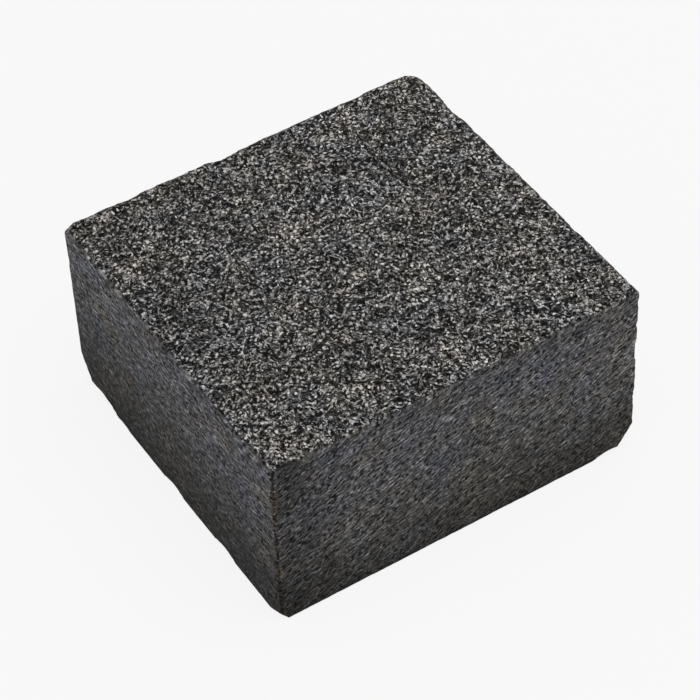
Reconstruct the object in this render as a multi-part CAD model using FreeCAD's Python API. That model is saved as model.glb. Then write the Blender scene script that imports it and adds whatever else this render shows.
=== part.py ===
"""Granite sett: one sawn block of dark granite with a flamed top, worn corners and spalled arrises.

The frame's origin is the middle of the bed face, with +Z up to the flamed face.
The block stands on its bed face, front towards -Y and right towards +X.
"""

import FreeCAD
import Part

import math
import os
from collections import namedtuple

Vector = FreeCAD.Vector

# Overall size of the sawn block, in millimetres.
LENGTH = 103.0  # along X
WIDTH = 98.0  # along Y
HEIGHT = 53.0  # along Z, from the bed face to the flamed face

# Plan radius of each upright corner: the one at the back right is worn round, the other three are crisp.
FRONT_LEFT_RADIUS = 0.8
FRONT_RIGHT_RADIUS = 0.9
BACK_RIGHT_RADIUS = 5.0
BACK_LEFT_RADIUS = 1.5

TOP_ARRIS_RADIUS = 0.9  # the flame rounds the edges of the face that it crosses
BED_ARRIS_CHAMFER = 0.4  # the saw leaves the bottom edges slightly crumbled

# A spall is a shallow shell-shaped flake lost from an arris, the edge where two faces meet.
# Its depth is taken below the rounded or bevelled arris. Nicks are the smallest, shells the largest.
NICK_LENGTH = 7.0
NICK_DEPTH = 0.4
FLAKE_LENGTH = 10.0
FLAKE_DEPTH = 0.8
SHELL_LENGTH = 17.0
SHELL_DEPTH = 1.8

# Longest side of each facet where a corner is knocked off.
BED_BACK_LEFT_KNOCK = 11.0
BED_FRONT_RIGHT_KNOCK = 8.0
BED_FRONT_LEFT_KNOCK = 6.0
TOP_FRONT_LEFT_KNOCK = 2.6
TOP_BACK_LEFT_KNOCK = 4.0

# Outward normals of the six faces.
TOP = Vector(0, 0, 1)
BED = Vector(0, 0, -1)
FRONT = Vector(0, -1, 0)
BACK = Vector(0, 1, 0)
LEFT = Vector(-1, 0, 0)
RIGHT = Vector(1, 0, 0)

SpallSize = namedtuple("SpallSize", "length depth")
NICK = SpallSize(NICK_LENGTH, NICK_DEPTH)
FLAKE = SpallSize(FLAKE_LENGTH, FLAKE_DEPTH)
SHELL = SpallSize(SHELL_LENGTH, SHELL_DEPTH)

# Each spall sits on the arris of faces a and b. Its place is a share of the arris's length,
# from the middle of the arris towards +X, +Y or +Z.
Spall = namedtuple("Spall", "a b place size")

SPALLS = [
    Spall(TOP, FRONT, -0.39, NICK),
    Spall(TOP, FRONT, -0.08, NICK),
    Spall(TOP, FRONT, 0.28, NICK),
    Spall(TOP, LEFT, -0.43, FLAKE),
    Spall(TOP, LEFT, -0.15, NICK),
    Spall(TOP, LEFT, 0.22, NICK),
    Spall(TOP, RIGHT, -0.22, NICK),
    Spall(TOP, RIGHT, 0.09, NICK),
    Spall(TOP, RIGHT, 0.32, FLAKE),
    Spall(TOP, BACK, -0.32, NICK),
    Spall(TOP, BACK, -0.05, FLAKE),
    Spall(TOP, BACK, 0.32, NICK),
    Spall(BED, FRONT, 0.43, FLAKE),
    Spall(BED, LEFT, -0.23, FLAKE),
    Spall(BED, LEFT, 0.02, FLAKE),
    Spall(BED, LEFT, 0.28, NICK),
    Spall(BED, LEFT, 0.39, SHELL),
    Spall(BED, RIGHT, -0.12, FLAKE),
    Spall(BED, RIGHT, 0.3, NICK),
    Spall(BED, BACK, -0.21, NICK),
    Spall(BED, BACK, 0.18, SHELL),
    Spall(FRONT, LEFT, 0.33, NICK),
    Spall(FRONT, LEFT, -0.14, NICK),
    Spall(FRONT, RIGHT, 0.13, NICK),
    Spall(BACK, RIGHT, -0.17, FLAKE),
    Spall(BACK, LEFT, 0.3, NICK),
]

# A knocked corner is broken off along a flat facet. The facet leaves the three arrises at these shares
# of its longest side from the corner, along X, Y and Z.
KnockedCorner = namedtuple("KnockedCorner", "end front_or_back left_or_right longest shares")

KNOCKED_CORNERS = [
    KnockedCorner(BED, BACK, LEFT, BED_BACK_LEFT_KNOCK, (0.55, 0.64, 1.0)),
    KnockedCorner(BED, FRONT, RIGHT, BED_FRONT_RIGHT_KNOCK, (0.7, 0.5, 1.0)),
    KnockedCorner(BED, FRONT, LEFT, BED_FRONT_LEFT_KNOCK, (0.4, 1.0, 0.53)),
    KnockedCorner(TOP, FRONT, LEFT, TOP_FRONT_LEFT_KNOCK, (0.75, 1.0, 0.85)),
    KnockedCorner(TOP, BACK, LEFT, TOP_BACK_LEFT_KNOCK, (1.0, 0.8, 0.6)),
]

UPRIGHT_CORNERS = [
    (FRONT, LEFT, FRONT_LEFT_RADIUS),
    (FRONT, RIGHT, FRONT_RIGHT_RADIUS),
    (BACK, RIGHT, BACK_RIGHT_RADIUS),
    (BACK, LEFT, BACK_LEFT_RADIUS),
]

MIDDLE = Vector(0, 0, HEIGHT / 2)
EDGE_TOLERANCE = 1e-6
ROUNDING_SHARE = math.sqrt(2) - 1  # of its radius that a rounded arris loses along its diagonal
BEVEL_SHARE = math.sqrt(0.5)  # of its side that a bevelled arris loses along its diagonal
PRISM_OVERSIZE = 2.0  # of a knocked corner's prism over its facet, to pass clear of the three faces


def half_size(normal):
    """Half of the block's size along an axis of the frame, as a vector from the middle to that face."""
    return Vector(normal.x * LENGTH / 2, normal.y * WIDTH / 2, normal.z * HEIGHT / 2)


def upright_edge(solid, front_or_back, left_or_right):
    """The upright edge of a square-cornered block between two of its sides."""
    corner = half_size(front_or_back) + half_size(left_or_right)
    for edge in solid.Edges:
        ends = [vertex.Point for vertex in edge.Vertexes]
        if all(math.hypot(end.x - corner.x, end.y - corner.y) < EDGE_TOLERANCE for end in ends):
            return edge
    raise ValueError("the block has no such upright edge")


def edges_at_height(solid, height):
    """The loop of edges that lies in the level plane at that height."""
    loop = []
    for edge in solid.Edges:
        box = edge.BoundBox
        if max(abs(box.ZMin - height), abs(box.ZMax - height)) < EDGE_TOLERANCE:
            loop.append(edge)
    return loop


def sawn_block():
    """The block as it leaves the saw, with its upright corners rounded by wear."""
    block = Part.makeBox(LENGTH, WIDTH, HEIGHT, Vector(-LENGTH / 2, -WIDTH / 2, 0))
    for front_or_back, left_or_right, radius in UPRIGHT_CORNERS:
        block = block.makeFillet(radius, [upright_edge(block, front_or_back, left_or_right)])
    return block


def dressed_block():
    """The sawn block with its flamed top edges rounded and its bottom edges bevelled."""
    block = sawn_block()
    block = block.makeFillet(TOP_ARRIS_RADIUS, edges_at_height(block, HEIGHT))
    return block.makeChamfer(BED_ARRIS_CHAMFER, edges_at_height(block, 0.0))


def dressing_depth(a, b):
    """How far the rounded or bevelled arris of two faces lies inside their sharp corner, along its diagonal."""
    if a == TOP:
        return TOP_ARRIS_RADIUS * ROUNDING_SHARE
    if a == BED:
        return BED_ARRIS_CHAMFER * BEVEL_SHARE
    radius = next(corner[2] for corner in UPRIGHT_CORNERS if corner[:2] == (a, b))
    return radius * ROUNDING_SHARE


def spall_cutter(spall):
    """A ball whose surface bites the arris to the spall's depth over the spall's length."""
    outward = (spall.a + spall.b).normalize()
    run = spall.a.cross(spall.b)
    arris_length = Vector(abs(run.x) * LENGTH, abs(run.y) * WIDTH, abs(run.z) * HEIGHT)
    arris_point = MIDDLE + half_size(spall.a) + half_size(spall.b) + arris_length * spall.place
    length, depth = spall.size
    radius = ((length / 2) ** 2 + depth**2) / (2 * depth)
    rise = radius - depth - dressing_depth(spall.a, spall.b)
    return Part.makeSphere(radius, arris_point + outward * rise)


def knocked_corner_cutter(knock):
    """A triangular prism that stands outward on the broken facet."""
    normals = (knock.left_or_right, knock.front_or_back, knock.end)
    corner = MIDDLE
    for normal in normals:
        corner = corner + half_size(normal)
    facet = [corner - normal * (knock.longest * share) for normal, share in zip(normals, knock.shares)]
    middle = (facet[0] + facet[1] + facet[2]) * (1 / len(facet))
    outward = (facet[1] - facet[0]).cross(facet[2] - facet[0]).normalize()
    if outward.dot(corner - middle) < 0:
        outward = outward * -1
    wide = [middle + (point - middle) * PRISM_OVERSIZE for point in facet]
    return Part.Face(Part.makePolygon([*wide, wide[0]])).extrude(outward * knock.longest)


def granite_sett():
    """The finished sett: the dressed block less every spall and knocked corner."""
    cutters = [spall_cutter(spall) for spall in SPALLS]
    cutters += [knocked_corner_cutter(knock) for knock in KNOCKED_CORNERS]
    return dressed_block().cut(cutters)


def main():
    os.makedirs("parts", exist_ok=True)
    shape = granite_sett()
    solid = shape.Solids[0]
    print("solids", len(shape.Solids), "valid", shape.isValid(), "volume mm3", round(shape.Volume, 1))
    solid.exportStep("parts/granite_sett.step")


main()
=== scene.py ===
"""Looks of the granite sett: its flamed top, sawn sides and crumbled arrises.

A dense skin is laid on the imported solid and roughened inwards, so it stays inside the solid's box.
"""

import math

import bpy
import numpy as np
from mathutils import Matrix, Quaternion, Vector, noise
from mathutils.bvhtree import BVHTree


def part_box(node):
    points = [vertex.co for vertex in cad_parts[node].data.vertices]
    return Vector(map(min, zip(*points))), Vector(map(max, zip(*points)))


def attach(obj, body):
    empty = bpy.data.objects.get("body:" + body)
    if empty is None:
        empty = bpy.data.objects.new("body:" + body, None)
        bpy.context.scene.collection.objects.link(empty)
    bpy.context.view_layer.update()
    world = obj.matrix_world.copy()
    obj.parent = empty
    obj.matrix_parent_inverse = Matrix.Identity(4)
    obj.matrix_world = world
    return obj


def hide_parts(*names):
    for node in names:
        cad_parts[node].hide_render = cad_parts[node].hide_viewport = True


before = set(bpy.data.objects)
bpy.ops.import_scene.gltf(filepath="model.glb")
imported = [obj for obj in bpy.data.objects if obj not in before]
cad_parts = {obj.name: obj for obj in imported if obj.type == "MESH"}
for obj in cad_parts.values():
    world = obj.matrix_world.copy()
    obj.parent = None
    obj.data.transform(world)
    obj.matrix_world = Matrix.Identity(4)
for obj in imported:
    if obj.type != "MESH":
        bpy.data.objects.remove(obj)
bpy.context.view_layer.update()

MM = 0.001
NODE = "granite_sett"
BODY = "root"

# Divisions of the skin, in millimetres. The sides have half of the top's lines and the bed a quarter.
TOP_CELLS = (240, 232)  # along X and along Y
CORNER_LINES = (0.0, 0.25, 0.5, 0.8, 1.15, 1.55)  # from an upright corner
FINE_RING_DEPTHS = (0.3, 0.6, 0.95, 1.35, 1.8, 2.35, 3.0)  # below the flamed face
SIDE_RING_STEP = 0.87
BED_RING_HEIGHTS = (1.7, 1.1, 0.55, 0.0)  # above the bed face
BED_INSET = 1.6
SIDE_STRIDE = 2
BED_STRIDE = 4

# Kinds of surface. Each pair is where a kind starts and where it is full.
FLAMED_FACING = (0.3, 0.85)  # upward part of the normal
BED_FACING = (0.9, 0.995)  # downward part of the normal
FLAT_FACING = (0.8, 0.99)  # largest part of the normal: less than this is a worn edge
ROUNDED_OFF = (0.5, 1.3)  # millimetres lost at a corner: less than this is still crisp

# Flamed relief, in millimetres.
FLAMED_CRYSTALS = ((1.7, 0.0, 0.24, 0.36), (3.6, 9.3, 0.14, 0.16))  # size, shift, step, tilt
FLAMED_WAVES = ((0.9, 4.1, 0.16), (7.0, 2.2, 0.12))  # size, shift, depth
FLAMED_SINK = 0.28
FACET_SHIFT = (37.0, 11.0, 5.0)  # sets a crystal's level apart from its tilt
DEEP_PIT = 0.7
FLAMED_MARGIN = (-0.2, 1.2)  # from the side, where the flamed colour starts and is full

# Sawn relief, in millimetres. The saw marks run level round the stone.
SAW_STRETCH = (0.05, 0.05, 1.0)
SAW_PITCH = 1.9
SAW_DEPTH = 0.05
HOLLOW_SIZE = 2.4
HOLLOW_DEPTH = 0.06
SAWN_SINK = 0.03

# Crumbled arrises, in millimetres.
CRUMB_SIZE = 2.6
FINE_CRUMB_SIZE = 1.2
FINE_CRUMB_SHARE = 0.6
BITE_SIZE = 9.0
BITE_FROM = 0.15  # level of the noise
NOTCH_SIZE = 2.0
NOTCH_FULL = 0.45  # level of the noise
TOP_CHIP_REACH = 1.8
TOP_CRUMBLE = 0.7
TOP_BITE = 0.9
UPRIGHT_CHIP_REACH = 1.5
UPRIGHT_NOTCH = 0.75
UPRIGHT_CRUMBLE = 0.3
BED_CHIP_REACH = 1.2
BED_CRUMBLE = 0.14
BED_BITE = 0.12
DEEP_CHIP = 0.5
RIM_REACH = 2.4

# Painted light and shade on the sawn faces: darker towards the bed and lighter high up, darker still low on
# the left face, near the front's top and beside the front left arris. Heights are shares of the stone's
# height.
PAINTED_LIGHT_BY_HEIGHT = (
    (0.0, 0.15),
    (0.02, 0.24),
    (0.04, 0.45),
    (0.09, 0.49),
    (0.16, 0.57),
    (0.24, 0.68),
    (0.5, 0.96),
    (0.8, 1.2),
    (0.97, 1.14),
    (1.0, 0.8),
)
LEFT_PAINTED_SHADE_BY_HEIGHT = ((0.1, 0.38), (0.3, 0.23), (0.9, -0.03))
FRONT_PAINTED_SHADE_BY_HEIGHT = ((0.6, 0.0), (0.8, 0.12), (1.0, 0.18))
FRONT_CORNER_PAINTED_SHADE = 0.42
FRONT_CORNER_REACH = 24.0  # millimetres from the left arris
# The bed keeps one even brightness, without painted shade.
BED_EVEN_BRIGHTNESS = 0.85
TOP_PAINTED_LIGHT_LEFT_TO_RIGHT = (0.87, 1.03)  # painted light: brightness of the flamed face at its two ends, darker at the left

# Crystals of the flamed face. Scales are pattern cells to a millimetre.
WOBBLE_SCALE = 1.1
WOBBLE_SIZE = 0.6  # millimetres
CLUMP_SCALE = 0.6
CLUMP_TURN = 40.0  # radians, at most
CLUMP_SPREAD = 90.0  # millimetres that a clump's pattern is shifted along each axis, at most
LATH_SCALES = (1.1, 2.0, 1.7)
LATH_GAP = ((0.0, 0.32), (0.12, 0.84), (0.3, 1.12))  # distance from the gap, brightness
RIPPLE_SCALE = 1.15
RIPPLE_SHARE = 0.7
BLOTCH_SCALE = 0.2
BLOTCH_SHARE = 0.2
GATHER_OFFSET = -0.49
CHAIN_SCALE = 0.4
CHAIN_LIFT = ((0.0, 0.25), (0.05, 0.0))  # distance from the chain's line, rise in tone
CRYSTAL_TONES = (
    (0.0, 0.004),
    (0.24, 0.013),
    (0.4, 0.034),
    (0.55, 0.08),
    (0.68, 0.165),
    (0.82, 0.32),
    (0.94, 0.55),
    (1.0, 0.72),
)
CRYSTAL_TINTS = ((0.0, (1.0, 0.99, 0.985)), (1.0, (1.015, 0.985, 0.935)))
LONG_LATH_SCALES = (0.4, 2.0, 1.6)
LONG_LATH_RARITY = 0.9
LONG_LATH_CORE = 0.36
LONG_LATH_COLOUR = (0.42, 0.41, 0.39, 1.0)
# Painted glints: bright spots in the colour that stand for light flashing off crystal faces.
PAINTED_GLINT_SCALE = 0.6
PAINTED_GLINT_RARITY = 0.82
PAINTED_GLINT_CORE = 0.23
PAINTED_GLINT_COLOUR = (0.72, 0.7, 0.66, 1.0)
# The flamed face darker in the pits of its relief: partly their dark crystals, partly painted shade.
PIT_SHADE_CHANGE = -0.3
PEAK_SHADE = 1.05
FIELD_SCALE = 0.06
FIELD_SHARE = 1.0
FIELD_OFFSET = 0.5

# Sawn faces. Angles are degrees from level on the front side, and scales are as above.
CUT_ANGLE = 19.0
STEEP_ANGLE = 42.0
CROSS_ANGLE = -60.0
DASH_SCALES = (1.35, 0.95, 3.3)
HATCH_SCALE = 0.6
HATCH_WAVES = 1.4  # to a pattern cell
LATH_SHARE = 0.39
DASH_SHARE = 0.5
HATCH_SHARE = 0.9
MIX_OFFSET = -0.395
SAWN_TONES = ((0.05, 0.012), (0.28, 0.034), (0.5, 0.067), (0.72, 0.115), (0.95, 0.22))
SCRATCHES = (  # angle, scales, width, brightness
    (CUT_ANGLE, (0.13, 0.14, 0.65), 0.08, 1.65),
    (STEEP_ANGLE, (0.12, 0.2, 0.55), 0.07, 1.7),
    (CROSS_ANGLE, (0.2, 0.3, 0.5), 0.07, 1.45),
)
GOUGE_SCALES = (0.5, 0.55, 1.15)
GOUGE_RARITY = 0.5
GOUGE_CORE = 0.36
GOUGE_STRENGTH = 0.9
GOUGE_TONE = 0.005
HOLE_SCALE = 0.55
HOLE_RARITY = 0.6
HOLE_CORE = 0.25
HOLE_STRENGTH = 0.9
HOLE_TONE = 0.006
PATCH_SCALES = (0.05, 0.05, 0.08)
PATCH_CONTRAST = 2.0
BROWN_BY_HEIGHT = -0.9
BROWN_AT_BED = 0.95
STAINS = ((0.1, (0.97, 0.975, 1.05)), (0.55, (1.0, 0.99, 0.98)), (1.0, (1.03, 0.99, 0.91)))

# Edges of the sawn faces.
RIM_TINT = (1.6, 1.45, 1.27, 1.0)
WORN_TINT = (1.03, 1.0, 0.95, 1.0)
TOOTH_SCALE = 0.75
TOOTH_STOPS = ((0.3, 1.0), (0.48, 0.0))
TOOTH_RIM = ((0.35, 0.0), (0.6, 1.0))
# Painted shade and dirt in the chips and notches of the arrises.
NOTCH_SHADE_AND_DIRT_STRENGTH = 0.9
NOTCH_SHADE_AND_DIRT_COLOUR = (0.005, 0.0045, 0.004, 1.0)
ARRIS_RIM = ((0.55, 0.0), (0.75, 1.0))
ARRIS_BREAK_SCALE = 0.5
ARRIS_BREAKS = ((0.42, 0.0), (0.56, 0.5))
ARRIS_COLOUR = (0.006, 0.005, 0.004, 1.0)

# Where the flamed skin ends, and what lies over the whole stone.
RAGGED_SCALE = 1.2
RAGGED_SHARE = 0.9
RAGGED_OFFSET = 0.45
FLAMED_FROM = ((0.4, 0.0), (0.6, 1.0))
# Painted shadow: a dark line along the edge of the flamed skin, under its overhanging grains.
BORDER_SHADOW_STOPS = ((0.25, 0.0), (0.36, 1.0), (0.46, 1.0), (0.56, 0.0))
BORDER_SHADOW_STRENGTH = 0.8
BORDER_SHADOW_COLOUR = (0.01, 0.008, 0.006, 1.0)
HUE_SCALE = 0.1
COLD_TO_WARM = ((0.25, (0.93, 0.98, 1.09)), (0.75, (1.08, 1.0, 0.89)))
DUST_SCALE = 2.2
DUST_RARITY = 0.72
DUST_HEIGHT_POWER = 8.0
DUST_STRENGTH = 0.22
DUST_COLOUR = (0.27, 0.245, 0.205, 1.0)
ROUGHNESS_SPREAD = 0.3
ROUGHNESS_LEAST = 0.6
GLOSS = 0.07
BUMP_SCALE = 2.6
BUMP_FROM_TONE = 0.6
BUMP_SAWN = 0.2
BUMP_FLAMED_MORE = 0.65
BUMP_HEIGHT = 0.3  # millimetres

# Floor and light, in metres and watts.
FLOOR_SIZE = 6.0
FLOOR_DROP = 0.0001
FLOOR_COLOUR = (0.62, 0.62, 0.62, 1.0)
FLOOR_WHITE_SHARE = 0.87
SKY_LIGHT = 0.55
SKY_SEEN = 0.9
SOFTBOX_SIZE = 0.9
SOFTBOX_PLACE = Vector((0.08, -0.2, 1.0))
SOFTBOX_POWER = 5.0

# Camera, in metres, with its lens and sensor in millimetres.
CAMERA_PLACE = Vector((-0.25891, -0.43765, 0.54929))
CAMERA_AIM = Vector((-0.00156, -0.00214, 0.02395))
CAMERA_ROLL = math.radians(-2.65)
CAMERA_LENS = 151.9
CAMERA_NEAREST = 0.01
SENSOR_WIDTH = 36.0


def loop_of(ids):
    """The border of a grid of vertex numbers, anticlockwise from above."""
    return np.concatenate([ids[:-1, 0], ids[-1, :-1], ids[:0:-1, -1], ids[0, :0:-1]])


def grid_quads(ids, facing_up):
    """The quads of a grid of vertex numbers."""
    a, b, c, d = ids[:-1, :-1], ids[1:, :-1], ids[1:, 1:], ids[:-1, 1:]
    order = (a, b, c, d) if facing_up else (a, d, c, b)
    return np.stack([q.ravel() for q in order], axis=1).tolist()


def ring_quads(upper, lower):
    """The quads between two rings of as many vertices."""
    return np.stack([upper, lower, np.roll(lower, -1), np.roll(upper, -1)], axis=1).tolist()


def halving_strip(fine, coarse):
    """Triangles between a ring and the next one, which has half as many vertices."""
    first, middle, last = fine[0::2], fine[1::2], np.roll(fine, -2)[0::2]
    after = np.roll(coarse, -1)
    strips = [(first, coarse, middle), (middle, coarse, after), (middle, after, last)]
    return [t for s in strips for t in np.stack(s, axis=1).tolist()]


def graded(low, high, cells):
    """Places of the grid lines from one face to the opposite one, closest together beside the two faces."""
    margin = CORNER_LINES[-1]
    near = np.array(CORNER_LINES[:-1])
    middle = np.linspace(low + margin, high - margin, cells + 1 - 2 * len(near))
    return np.concatenate([low + near, middle, high - near[::-1]])


def box_skin(low, high):
    """Vertices and faces of a closed box, finest on its top."""
    points, faces = [], []
    lines = [graded(low[k], high[k], cells) for k, cells in enumerate(TOP_CELLS)]

    def add(block):
        start = sum(len(p) for p in points)
        points.append(block)
        return np.arange(start, start + len(block))

    def add_grid(stride, inset, z):
        inner = [np.interp(v, (v[0], v[-1]), (v[0] + inset, v[-1] - inset))[::stride] for v in lines]
        gx, gy = np.meshgrid(*inner, indexing="ij")
        block = np.stack([gx.ravel(), gy.ravel(), np.full(gx.size, z)], axis=1)
        return add(block).reshape(gx.shape)

    def add_ring(z, stride):
        outline = plan[::stride]
        return add(np.column_stack([outline, np.full(len(outline), z)]))

    top = add_grid(1, 0.0, high[2])
    faces += grid_quads(top, True)
    ring = loop_of(top)
    plan = points[0][ring][:, :2]
    for depth in FINE_RING_DEPTHS:
        lower = add_ring(high[2] - depth, 1)
        faces += ring_quads(ring, lower)
        ring = lower

    upper_z = high[2] - FINE_RING_DEPTHS[-1]
    rows = round((upper_z - BED_RING_HEIGHTS[0]) / SIDE_RING_STEP)
    side_heights = np.linspace(upper_z, BED_RING_HEIGHTS[0], rows + 1)[1:]
    for k, z in enumerate([*side_heights, *BED_RING_HEIGHTS[1:]]):
        lower = add_ring(low[2] + z, SIDE_STRIDE)
        faces += halving_strip(ring, lower) if k == 0 else ring_quads(ring, lower)
        ring = lower
    bed = add_grid(BED_STRIDE, BED_INSET, low[2])
    faces += halving_strip(ring, loop_of(bed))
    faces += grid_quads(bed, False)
    return np.concatenate(points), faces


def smoothstep(low, high, value):
    """0 up to low, 1 from high on, and a smooth rise between."""
    t = np.clip((value - low) / (high - low), 0.0, 1.0)
    return t * t * (3.0 - 2.0 * t)


def along(value, stops):
    """The value read off a line through the stops."""
    places, results = zip(*stops)
    return np.interp(value, places, results)


def closeness(distance, reach):
    """1 on an arris, falling to 0 at the reach."""
    return np.clip(1.0 - distance / reach, 0.0, 1.0) ** 2


def perlin(points, size, shift):
    """Noise of about -1 to 1 whose features are about that size. The shift sets patterns apart."""
    return np.array([noise.noise(Vector(p)) for p in points / size + shift])


def humps(points, size, shift):
    """The upper half of such a noise, with 0 between its humps."""
    return np.maximum(0.0, perlin(points, size, shift))


def crystals(points, size, shift):
    """For each point, its crystal's random number and the height of that crystal's tilted facet."""
    level, slope = [], []
    for p in points / size + shift:
        v = Vector(p)
        middle = noise.voronoi(v)[1][0]
        tilt = noise.cell_vector(middle) - Vector((0.5, 0.5, 0.5))
        level.append(noise.cell(middle + Vector(FACET_SHIFT)))
        slope.append((v - middle).dot(tilt))
    return np.array(level), np.array(slope)


def mesh_of(name, points, faces):
    """A mesh of points given in millimetres."""
    mesh = bpy.data.meshes.new(name)
    mesh.from_pydata((points * MM).tolist(), [], faces)
    mesh.update()
    return mesh


def vertex_normals(mesh):
    normals = np.empty(len(mesh.vertices) * 3, np.float32)
    mesh.vertex_normals.foreach_get("vector", normals)
    return normals.reshape(-1, 3).astype(float)


def add_attribute(mesh, name, values):
    mesh.attributes.new(name, "FLOAT", "POINT").data.foreach_set("value", values.astype(np.float32))


def laid_on_solid(flat, faces):
    """The box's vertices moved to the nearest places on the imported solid, and the normals there."""
    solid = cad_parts[NODE].data
    corners = [v.co / MM for v in solid.vertices]
    tree = BVHTree.FromPolygons(corners, [tuple(p.vertices) for p in solid.polygons])
    points = np.array([tree.find_nearest(Vector(p))[0] for p in flat])
    sheet = mesh_of("skin", points, faces)
    normals = vertex_normals(sheet)
    bpy.data.meshes.remove(sheet)
    return points, normals


def flamed_relief(points):
    """Depth of the flamed face: crystals that burst off at many levels, with tilted facets."""
    grain = FLAMED_SINK
    for size, shift, step, tilt in FLAMED_CRYSTALS:
        level, slope = crystals(points, size, shift)
        grain = grain + step * level + tilt * slope
    for size, shift, depth in FLAMED_WAVES:
        grain = grain + depth * perlin(points, size, shift)
    return np.maximum(0.0, grain)


def sawn_relief(points):
    """Depth of the sawn faces: level saw marks and shallow hollows."""
    saw = 0.5 + 0.5 * perlin(points * np.array(SAW_STRETCH), SAW_PITCH, shift=6.6)
    hollow = humps(points, HOLLOW_SIZE, shift=3.3)
    return SAW_DEPTH * saw + HOLLOW_DEPTH * hollow + SAWN_SINK


def sawn_brightness(height, normals, from_left):
    """Painted light and shade on the sawn faces: darker towards the bed, lighter high up and a little darker
    at the top edge, darker still low on the left face, near the front's top and beside the front left arris,
    and one even brightness on the bed.
    """
    facing_left = np.maximum(0.0, -normals[:, 0])
    facing_front = np.maximum(0.0, -normals[:, 1])
    near_corner = 1.0 - smoothstep(0.0, FRONT_CORNER_REACH, from_left)
    painted_light = along(height, PAINTED_LIGHT_BY_HEIGHT)
    painted_light = painted_light * (1.0 - facing_left * along(height, LEFT_PAINTED_SHADE_BY_HEIGHT))
    painted_light = painted_light * (1.0 - facing_front * FRONT_CORNER_PAINTED_SHADE * near_corner)
    painted_light = painted_light * (1.0 - facing_front * along(height, FRONT_PAINTED_SHADE_BY_HEIGHT))
    on_bed = smoothstep(*BED_FACING, -normals[:, 2])
    return painted_light + (BED_EVEN_BRIGHTNESS - painted_light) * on_bed


def stone():
    """The sett's skin: the box grid laid on the solid, then roughened inwards."""
    low, high = (np.array(c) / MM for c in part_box(NODE))
    flat, faces = box_skin(low, high)
    points, normals = laid_on_solid(flat, faces)

    to_sides = np.minimum(flat - low, high - flat)[:, :2]
    to_side = to_sides.min(axis=1)
    to_upright_arris = to_sides.max(axis=1)
    to_top_arris = np.maximum(to_side, high[2] - flat[:, 2])
    to_bed_arris = np.maximum(to_side, flat[:, 2] - low[2])
    height = (points[:, 2] - low[2]) / (high[2] - low[2])
    flamed = smoothstep(*FLAMED_FACING, normals[:, 2])
    worn = 1.0 - smoothstep(*FLAT_FACING, np.abs(normals).max(axis=1))
    crisp = 1.0 - smoothstep(*ROUNDED_OFF, np.linalg.norm(points - flat, axis=1))
    # Painted light and shade for the sawn faces.
    painted_light = sawn_brightness(height, normals, flat[:, 0] - low[0])

    crumble = humps(points, CRUMB_SIZE, shift=8.8)
    crumble = crumble + FINE_CRUMB_SHARE * humps(points, FINE_CRUMB_SIZE, shift=1.5)
    bite = np.maximum(0.0, perlin(points, BITE_SIZE, shift=5.4) - BITE_FROM)
    notch = smoothstep(0.0, NOTCH_FULL, perlin(points, NOTCH_SIZE, shift=3.9))
    top_chips = closeness(to_top_arris, TOP_CHIP_REACH) * (TOP_CRUMBLE * crumble + TOP_BITE * bite)
    upright_loss = UPRIGHT_NOTCH * notch + UPRIGHT_CRUMBLE * crumble
    upright_chips = closeness(to_upright_arris, UPRIGHT_CHIP_REACH) * upright_loss
    bed_chips = closeness(to_bed_arris, BED_CHIP_REACH) * (BED_CRUMBLE * crumble + BED_BITE * bite)
    arris_depth = np.maximum(np.maximum(top_chips, upright_chips), bed_chips)

    flamed_depth = flamed_relief(points)
    depth = flamed * flamed_depth + (1.0 - flamed) * sawn_relief(points) + arris_depth
    points = np.clip(points - normals * depth[:, None], low, high)

    mesh = mesh_of("granite_stone", points, faces)
    mesh.polygons.foreach_set("use_smooth", np.ones(len(mesh.polygons), bool))
    add_attribute(mesh, "flamed", flamed * smoothstep(*FLAMED_MARGIN, to_side))
    # Depth of the flamed relief, which darkens its pits: partly dark crystals, partly painted shade.
    add_attribute(mesh, "pit", np.clip(flamed_depth / DEEP_PIT, 0.0, 1.0))
    add_attribute(mesh, "worn", worn)
    # How deep the side arrises are chipped, for their painted shade and dirt.
    add_attribute(mesh, "chip", np.clip(np.maximum(upright_chips, bed_chips) / DEEP_CHIP, 0.0, 1.0))
    add_attribute(mesh, "upright", crisp * closeness(to_upright_arris, RIM_REACH))
    add_attribute(mesh, "painted_light", painted_light)
    add_attribute(mesh, "height", height)
    # Painted light: the flamed face darker at its left end than at its right.
    add_attribute(mesh, "pale", np.interp(flat[:, 0], (low[0], high[0]), TOP_PAINTED_LIGHT_LEFT_TO_RIGHT))
    piece = bpy.data.objects.new("granite_stone", mesh)
    bpy.context.scene.collection.objects.link(piece)
    return piece


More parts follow.
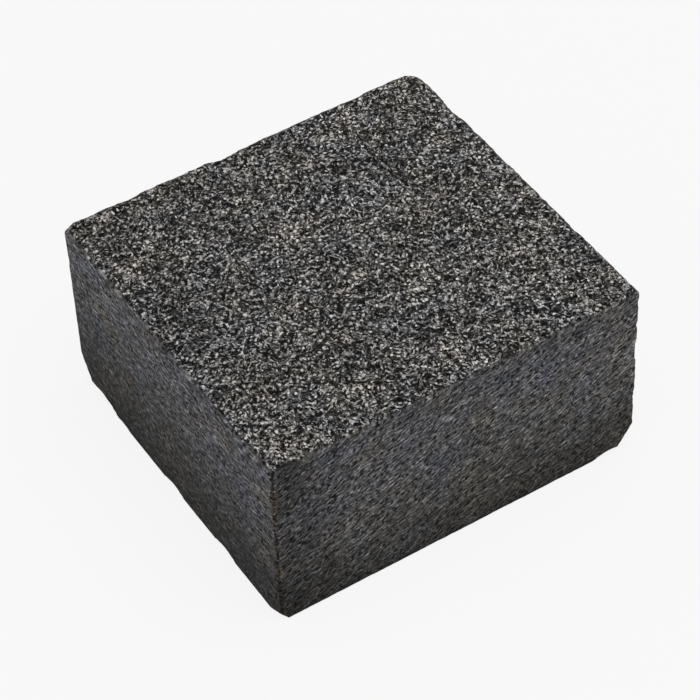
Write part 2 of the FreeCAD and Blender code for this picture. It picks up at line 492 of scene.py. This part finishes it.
class Nodes:
    """Short calls that add nodes to a tree and link them."""

    # Numbers of the sockets that share their names with others of their node.
    MIX_COLOUR_A = 6
    MIX_COLOUR_B = 7
    MIX_COLOUR_RESULT = 2
    GABOR_DIRECTION = 5

    def __init__(self, tree):
        self.tree = tree
        tree.nodes.clear()

    def add(self, kind, values=None, **settings):
        """A new node. Its values are links or constants for its sockets, by name or by number."""
        node = self.tree.nodes.new(kind)
        for key, value in settings.items():
            setattr(node, key, value)
        for key, value in (values or {}).items():
            if isinstance(value, bpy.types.NodeSocket):
                self.tree.links.new(value, node.inputs[key])
            else:
                node.inputs[key].default_value = value
        return node

    def math(self, operation, *values, clamp=False):
        sockets = dict(enumerate(values))
        return self.add("ShaderNodeMath", sockets, operation=operation, use_clamp=clamp).outputs[0]

    def vector(self, operation, first, second):
        key = "Scale" if operation == "SCALE" else 1
        return self.add("ShaderNodeVectorMath", {0: first, key: second}, operation=operation).outputs[0]

    def turned(self, vector, angle, axis):
        values = {"Vector": vector, "Angle": angle}
        return self.add("ShaderNodeVectorRotate", values, rotation_type=axis).outputs[0]

    def channel(self, colour, index):
        return self.add("ShaderNodeSeparateColor", {0: colour}).outputs[index]

    def attribute(self, name):
        return self.add("ShaderNodeAttribute", attribute_name=name).outputs["Fac"]

    def ramp(self, value, stops):
        """A line through the stops. A stop's result is a grey or a colour."""
        node = self.add("ShaderNodeValToRGB", {"Fac": value})
        elements = node.color_ramp.elements
        while len(elements) < len(stops):
            elements.new(1.0)
        for element, (position, result) in zip(elements, stops):
            element.position = position
            element.color = (*result, 1.0) if isinstance(result, tuple) else grey(result)
        return node.outputs["Color"]

    def mix(self, factor, a, b, blend="MIX"):
        values = {0: factor, self.MIX_COLOUR_A: a, self.MIX_COLOUR_B: b}
        node = self.add("ShaderNodeMix", values, data_type="RGBA", blend_type=blend)
        return node.outputs[self.MIX_COLOUR_RESULT]

    def times(self, colour, tint):
        return self.mix(1.0, colour, tint, "MULTIPLY")

    def noise(self, vector, scale, detail=2.0, roughness=0.5):
        values = {"Vector": vector, "Scale": scale, "Detail": detail, "Roughness": roughness}
        return self.add("ShaderNodeTexNoise", values)

    def voronoi(self, vector, scale=1.0, feature="F1"):
        return self.add("ShaderNodeTexVoronoi", {"Vector": vector, "Scale": scale}, feature=feature)

    def spots(self, vector, scale, rarity, core):
        """1 in the core of those pattern cells whose random number is above the rarity."""
        cell = self.voronoi(vector, scale)
        chosen = self.math("GREATER_THAN", self.channel(cell.outputs["Color"], 0), rarity)
        return self.math("MULTIPLY", chosen, self.math("LESS_THAN", cell.outputs["Distance"], core))

    def lines(self, swell, stops):
        """Winding lines where a noise passes its middle value."""
        return self.ramp(self.math("ABSOLUTE", self.math("SUBTRACT", swell, 0.5)), stops)


def grey(value):
    return (value, value, value, 1.0)


def turned_clumps(n, place):
    """Places in the crystals' pattern, which lies in a new direction in each clump of a few crystals."""
    wobble = n.vector("SUBTRACT", n.noise(place, WOBBLE_SCALE).outputs["Color"], (0.5, 0.5, 0.5))
    warped = n.vector("ADD", place, n.vector("SCALE", wobble, WOBBLE_SIZE))
    clump = n.voronoi(warped, CLUMP_SCALE)
    clump_random = clump.outputs["Color"]
    from_middle = n.vector("SUBTRACT", warped, clump.outputs["Position"])
    angle = n.math("MULTIPLY", n.channel(clump_random, 0), CLUMP_TURN)
    return n.vector(
        "ADD",
        n.turned(from_middle, angle, "Z_AXIS"),
        n.vector("SCALE", clump_random, CLUMP_SPREAD),
    )


def flamed_tone(n, place, chance):
    """Tone of each crystal. Pale ones gather in ripples, winding chains and larger blotches."""
    blotch = n.noise(place, BLOTCH_SCALE).outputs["Fac"]
    ripple = n.noise(place, RIPPLE_SCALE, detail=0.0).outputs["Fac"]
    chain = n.lines(n.noise(place, CHAIN_SCALE, detail=1.0).outputs["Fac"], CHAIN_LIFT)
    gather = n.math("MULTIPLY_ADD", blotch, BLOTCH_SHARE, GATHER_OFFSET)
    gather = n.math("MULTIPLY_ADD", ripple, RIPPLE_SHARE, gather)
    return n.math("ADD", chance, n.math("ADD", gather, chain), clamp=True)


def flamed_colour(n, place, clumps, laths, tone, tint_chance):
    """Crystals with dark gaps between them, some long pale laths, painted glints, pits darker partly by
    their dark crystals and partly by painted shade, and painted light that rises from the left end to the
    right.
    """
    to_gap = n.voronoi(laths, feature="DISTANCE_TO_EDGE").outputs[0]
    colour = n.times(n.ramp(tone, CRYSTAL_TONES), n.ramp(to_gap, LATH_GAP))
    colour = n.times(colour, n.ramp(tint_chance, CRYSTAL_TINTS))
    long_laths = n.vector("MULTIPLY", clumps, LONG_LATH_SCALES)
    pale = n.spots(long_laths, 1.0, LONG_LATH_RARITY, LONG_LATH_CORE)
    colour = n.mix(pale, colour, LONG_LATH_COLOUR)
    # Painted glints: bright spots standing for light flashing off crystal faces.
    colour = n.mix(n.spots(place, PAINTED_GLINT_SCALE, PAINTED_GLINT_RARITY, PAINTED_GLINT_CORE), colour, PAINTED_GLINT_COLOUR)
    field = n.noise(place, FIELD_SCALE).outputs["Fac"]
    # Darker in the pits of the relief: partly their dark crystals, partly painted shade.
    shade = n.math("MULTIPLY_ADD", n.attribute("pit"), PIT_SHADE_CHANGE, PEAK_SHADE)
    shade = n.math("MULTIPLY", shade, n.math("MULTIPLY_ADD", field, FIELD_SHARE, FIELD_OFFSET))
    # Painted light: darker at the flamed face's left end, lighter at its right.
    shade = n.math("MULTIPLY", shade, n.attribute("pale"))
    return n.times(colour, shade)


def sawn_colour(n, place, chance, height):
    """The same crystals under a film of saw slurry, hatched, scratched, gouged and stained."""

    def turned_to(degrees):
        return n.turned(place, math.radians(degrees), "Y_AXIS")

    dash = n.voronoi(n.vector("MULTIPLY", turned_to(CUT_ANGLE), DASH_SCALES)).outputs["Color"]
    cut = math.radians(CUT_ANGLE)
    across_cut = (-math.sin(cut), 0.0, math.cos(cut))
    waves = {
        "Vector": place,
        "Scale": HATCH_SCALE,
        "Frequency": HATCH_WAVES,
        "Anisotropy": 1.0,
        n.GABOR_DIRECTION: across_cut,
    }
    hatch = n.add("ShaderNodeTexGabor", waves, gabor_type="3D").outputs["Value"]
    mixed = n.math("MULTIPLY_ADD", chance, LATH_SHARE, n.math("MULTIPLY", n.channel(dash, 0), DASH_SHARE))
    mixed = n.math("ADD", mixed, n.math("MULTIPLY_ADD", hatch, HATCH_SHARE, MIX_OFFSET))
    colour = n.ramp(mixed, SAWN_TONES)
    for degrees, scales, width, brightness in SCRATCHES:
        stretched = n.vector("MULTIPLY", turned_to(degrees), scales)
        swell = n.noise(stretched, 1.0, detail=1.0).outputs["Fac"]
        scratch = n.lines(swell, ((0.0, 1.0), (width, 0.0)))
        colour = n.mix(scratch, colour, n.times(colour, grey(brightness)))

    gouges = n.vector("MULTIPLY", turned_to(STEEP_ANGLE), GOUGE_SCALES)
    gouge = n.spots(gouges, 1.0, GOUGE_RARITY, GOUGE_CORE)
    colour = n.mix(n.math("MULTIPLY", gouge, GOUGE_STRENGTH), colour, grey(GOUGE_TONE))
    hole = n.spots(place, HOLE_SCALE, HOLE_RARITY, HOLE_CORE)
    colour = n.mix(n.math("MULTIPLY", hole, HOLE_STRENGTH), colour, grey(HOLE_TONE))

    patch = n.noise(n.vector("MULTIPLY", place, PATCH_SCALES), 1.0, detail=3.0).outputs["Fac"]
    brown = n.math("MULTIPLY_ADD", height, BROWN_BY_HEIGHT, BROWN_AT_BED)
    brown = n.math("MULTIPLY_ADD", n.math("SUBTRACT", patch, 0.5), PATCH_CONTRAST, brown, clamp=True)
    colour = n.times(colour, n.ramp(brown, STAINS))
    # The painted light and shade of the sawn faces, from the skin's attribute.
    return n.times(colour, n.attribute("painted_light"))


def edged(n, place, sawn):
    """The sawn faces with a tinted rim and paler worn edges, dark teeth and chips along the arrises as
    painted shade and dirt, and a broken dark line on the crisp arrises.
    """
    rim = n.attribute("upright")
    colour = n.mix(rim, sawn, n.times(sawn, RIM_TINT))
    colour = n.mix(n.attribute("worn"), colour, n.times(colour, WORN_TINT))
    tooth = n.ramp(n.voronoi(place, TOOTH_SCALE).outputs["Distance"], TOOTH_STOPS)
    tooth = n.math("MULTIPLY", n.ramp(rim, TOOTH_RIM), tooth)
    # Painted shade and dirt in the chips and the teeth.
    notch_shade_and_dirt = n.math("MAXIMUM", n.attribute("chip"), tooth)
    colour = n.mix(n.math("MULTIPLY", notch_shade_and_dirt, NOTCH_SHADE_AND_DIRT_STRENGTH), colour, NOTCH_SHADE_AND_DIRT_COLOUR)
    broken = n.ramp(n.noise(place, ARRIS_BREAK_SCALE).outputs["Fac"], ARRIS_BREAKS)
    return n.mix(n.math("MULTIPLY", n.ramp(rim, ARRIS_RIM), broken), colour, ARRIS_COLOUR)


def joined(n, place, flamed_skin, sawn_skin, flamed, height):
    """Both skins, with a painted shadow as a ragged dark line between them, cold and warm areas, and dust on
    the top arrises.
    """
    inside = n.math("SUBTRACT", flamed, RAGGED_OFFSET)
    ragged = n.math("MULTIPLY_ADD", n.noise(place, RAGGED_SCALE).outputs["Fac"], RAGGED_SHARE, inside)
    colour = n.mix(n.ramp(ragged, FLAMED_FROM), sawn_skin, flamed_skin)
    # Painted shadow: a ragged dark line under the edge of the flamed face.
    border = n.math("MULTIPLY", n.ramp(ragged, BORDER_SHADOW_STOPS), BORDER_SHADOW_STRENGTH)
    colour = n.mix(border, colour, BORDER_SHADOW_COLOUR)
    hue = n.noise(place, HUE_SCALE, detail=4.0, roughness=0.65).outputs["Fac"]
    colour = n.times(colour, n.ramp(hue, COLD_TO_WARM))
    speck_chance = n.channel(n.voronoi(place, DUST_SCALE).outputs["Color"], 0)
    speck = n.math("GREATER_THAN", speck_chance, DUST_RARITY)
    high_up = n.math("POWER", height, DUST_HEIGHT_POWER)
    dust = n.math("MULTIPLY", n.attribute("worn"), n.math("MULTIPLY", speck, high_up))
    return n.mix(n.math("MULTIPLY", dust, DUST_STRENGTH), colour, DUST_COLOUR)


def granite_material():
    """Dark granite: crystals on the flamed face and a duller film on the sawn ones."""
    material = bpy.data.materials.new("granite")
    material.use_nodes = True
    n = Nodes(material.node_tree)
    place = n.vector("SCALE", n.add("ShaderNodeTexCoord").outputs["Object"], 1.0 / MM)  # in millimetres
    flamed = n.attribute("flamed")
    height = n.attribute("height")

    clumps = turned_clumps(n, place)
    laths = n.vector("MULTIPLY", clumps, LATH_SCALES)
    lath_random = n.voronoi(laths).outputs["Color"]
    chance = n.channel(lath_random, 0)
    second_chance = n.channel(lath_random, 1)
    tone = flamed_tone(n, place, chance)
    flamed_skin = flamed_colour(n, place, clumps, laths, tone, second_chance)
    sawn_skin = edged(n, place, sawn_colour(n, place, chance, height))
    colour = joined(n, place, flamed_skin, sawn_skin, flamed, height)

    roughness = n.math("MULTIPLY_ADD", second_chance, ROUGHNESS_SPREAD, ROUGHNESS_LEAST)
    fine = n.noise(place, BUMP_SCALE, detail=3.0).outputs["Fac"]
    rise = n.math("ADD", n.math("MULTIPLY", tone, BUMP_FROM_TONE), fine)
    strength = n.math("MULTIPLY_ADD", flamed, BUMP_FLAMED_MORE, BUMP_SAWN)
    bump = n.add("ShaderNodeBump", {"Height": rise, "Strength": strength, "Distance": BUMP_HEIGHT * MM})
    shader = n.add(
        "ShaderNodeBsdfPrincipled",
        {
            "Base Color": colour,
            "Roughness": roughness,
            "Specular IOR Level": GLOSS,
            "Normal": bump.outputs[0],
        },
    )
    n.add("ShaderNodeOutputMaterial", {"Surface": shader.outputs[0]})
    return material


def shown_to_eye(n):
    """1 for the rays that show a background: those from the camera and those by way of gloss or glass."""
    path = n.add("ShaderNodeLightPath")
    either = n.math("MAXIMUM", path.outputs["Is Camera Ray"], path.outputs["Is Glossy Ray"])
    return n.math("MAXIMUM", either, path.outputs["Is Transmission Ray"])


def floor():
    """A plain pale floor that keeps the stone's shadow."""
    half = FLOOR_SIZE / 2
    corners = [(-half, -half, 0), (half, -half, 0), (half, half, 0), (-half, half, 0)]
    mesh = bpy.data.meshes.new("floor")
    mesh.from_pydata(corners, [], [(0, 1, 2, 3)])
    ground = bpy.data.objects.new("floor", mesh)
    ground.location.z = -FLOOR_DROP
    bpy.context.scene.collection.objects.link(ground)
    material = bpy.data.materials.new("floor")
    material.use_nodes = True
    n = Nodes(material.node_tree)
    paper = n.add("ShaderNodeBsdfDiffuse", {"Color": FLOOR_COLOUR})
    white = n.add("ShaderNodeEmission", {"Color": grey(1.0), "Strength": 1.0})
    share = n.math("MULTIPLY", shown_to_eye(n), FLOOR_WHITE_SHARE)
    mixed = n.add("ShaderNodeMixShader", {0: share, 1: paper.outputs[0], 2: white.outputs[0]})
    n.add("ShaderNodeOutputMaterial", {"Surface": mixed.outputs[0]})
    mesh.materials.append(material)
    return ground


def light():
    """An even pale sky and one large softbox overhead."""
    world = bpy.data.worlds.new("studio")
    bpy.context.scene.world = world
    world.use_nodes = True
    n = Nodes(world.node_tree)
    soft = n.add("ShaderNodeBackground", {"Color": grey(1.0), "Strength": SKY_LIGHT})
    seen = n.add("ShaderNodeBackground", {"Color": grey(1.0), "Strength": SKY_SEEN})
    mixed = n.add("ShaderNodeMixShader", {0: shown_to_eye(n), 1: soft.outputs[0], 2: seen.outputs[0]})
    n.add("ShaderNodeOutputWorld", {"Surface": mixed.outputs[0]})

    softbox = bpy.data.lights.new("softbox", "AREA")
    softbox.energy = SOFTBOX_POWER
    softbox.shape = "SQUARE"
    softbox.size = SOFTBOX_SIZE
    lamp = bpy.data.objects.new("softbox", softbox)
    lamp.location = SOFTBOX_PLACE
    lamp.rotation_mode = "QUATERNION"
    lamp.rotation_quaternion = (-SOFTBOX_PLACE).to_track_quat("-Z", "Y")
    bpy.context.scene.collection.objects.link(lamp)


def camera():
    """The camera at the photograph's viewing angle."""
    data = bpy.data.cameras.new("camera")
    data.lens = CAMERA_LENS
    data.sensor_width = SENSOR_WIDTH
    data.clip_start = CAMERA_NEAREST
    cam = bpy.data.objects.new("camera", data)
    cam.location = CAMERA_PLACE
    cam.rotation_mode = "QUATERNION"
    aim = (CAMERA_AIM - CAMERA_PLACE).to_track_quat("-Z", "Y")
    cam.rotation_quaternion = aim @ Quaternion((0.0, 0.0, 1.0), CAMERA_ROLL)
    bpy.context.scene.collection.objects.link(cam)
    bpy.context.scene.camera = cam


sett = stone()
sett.data.materials.append(granite_material())
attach(sett, BODY)
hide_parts(NODE)
floor()
light()
camera()
bpy.context.scene.view_settings.view_transform = "Standard"
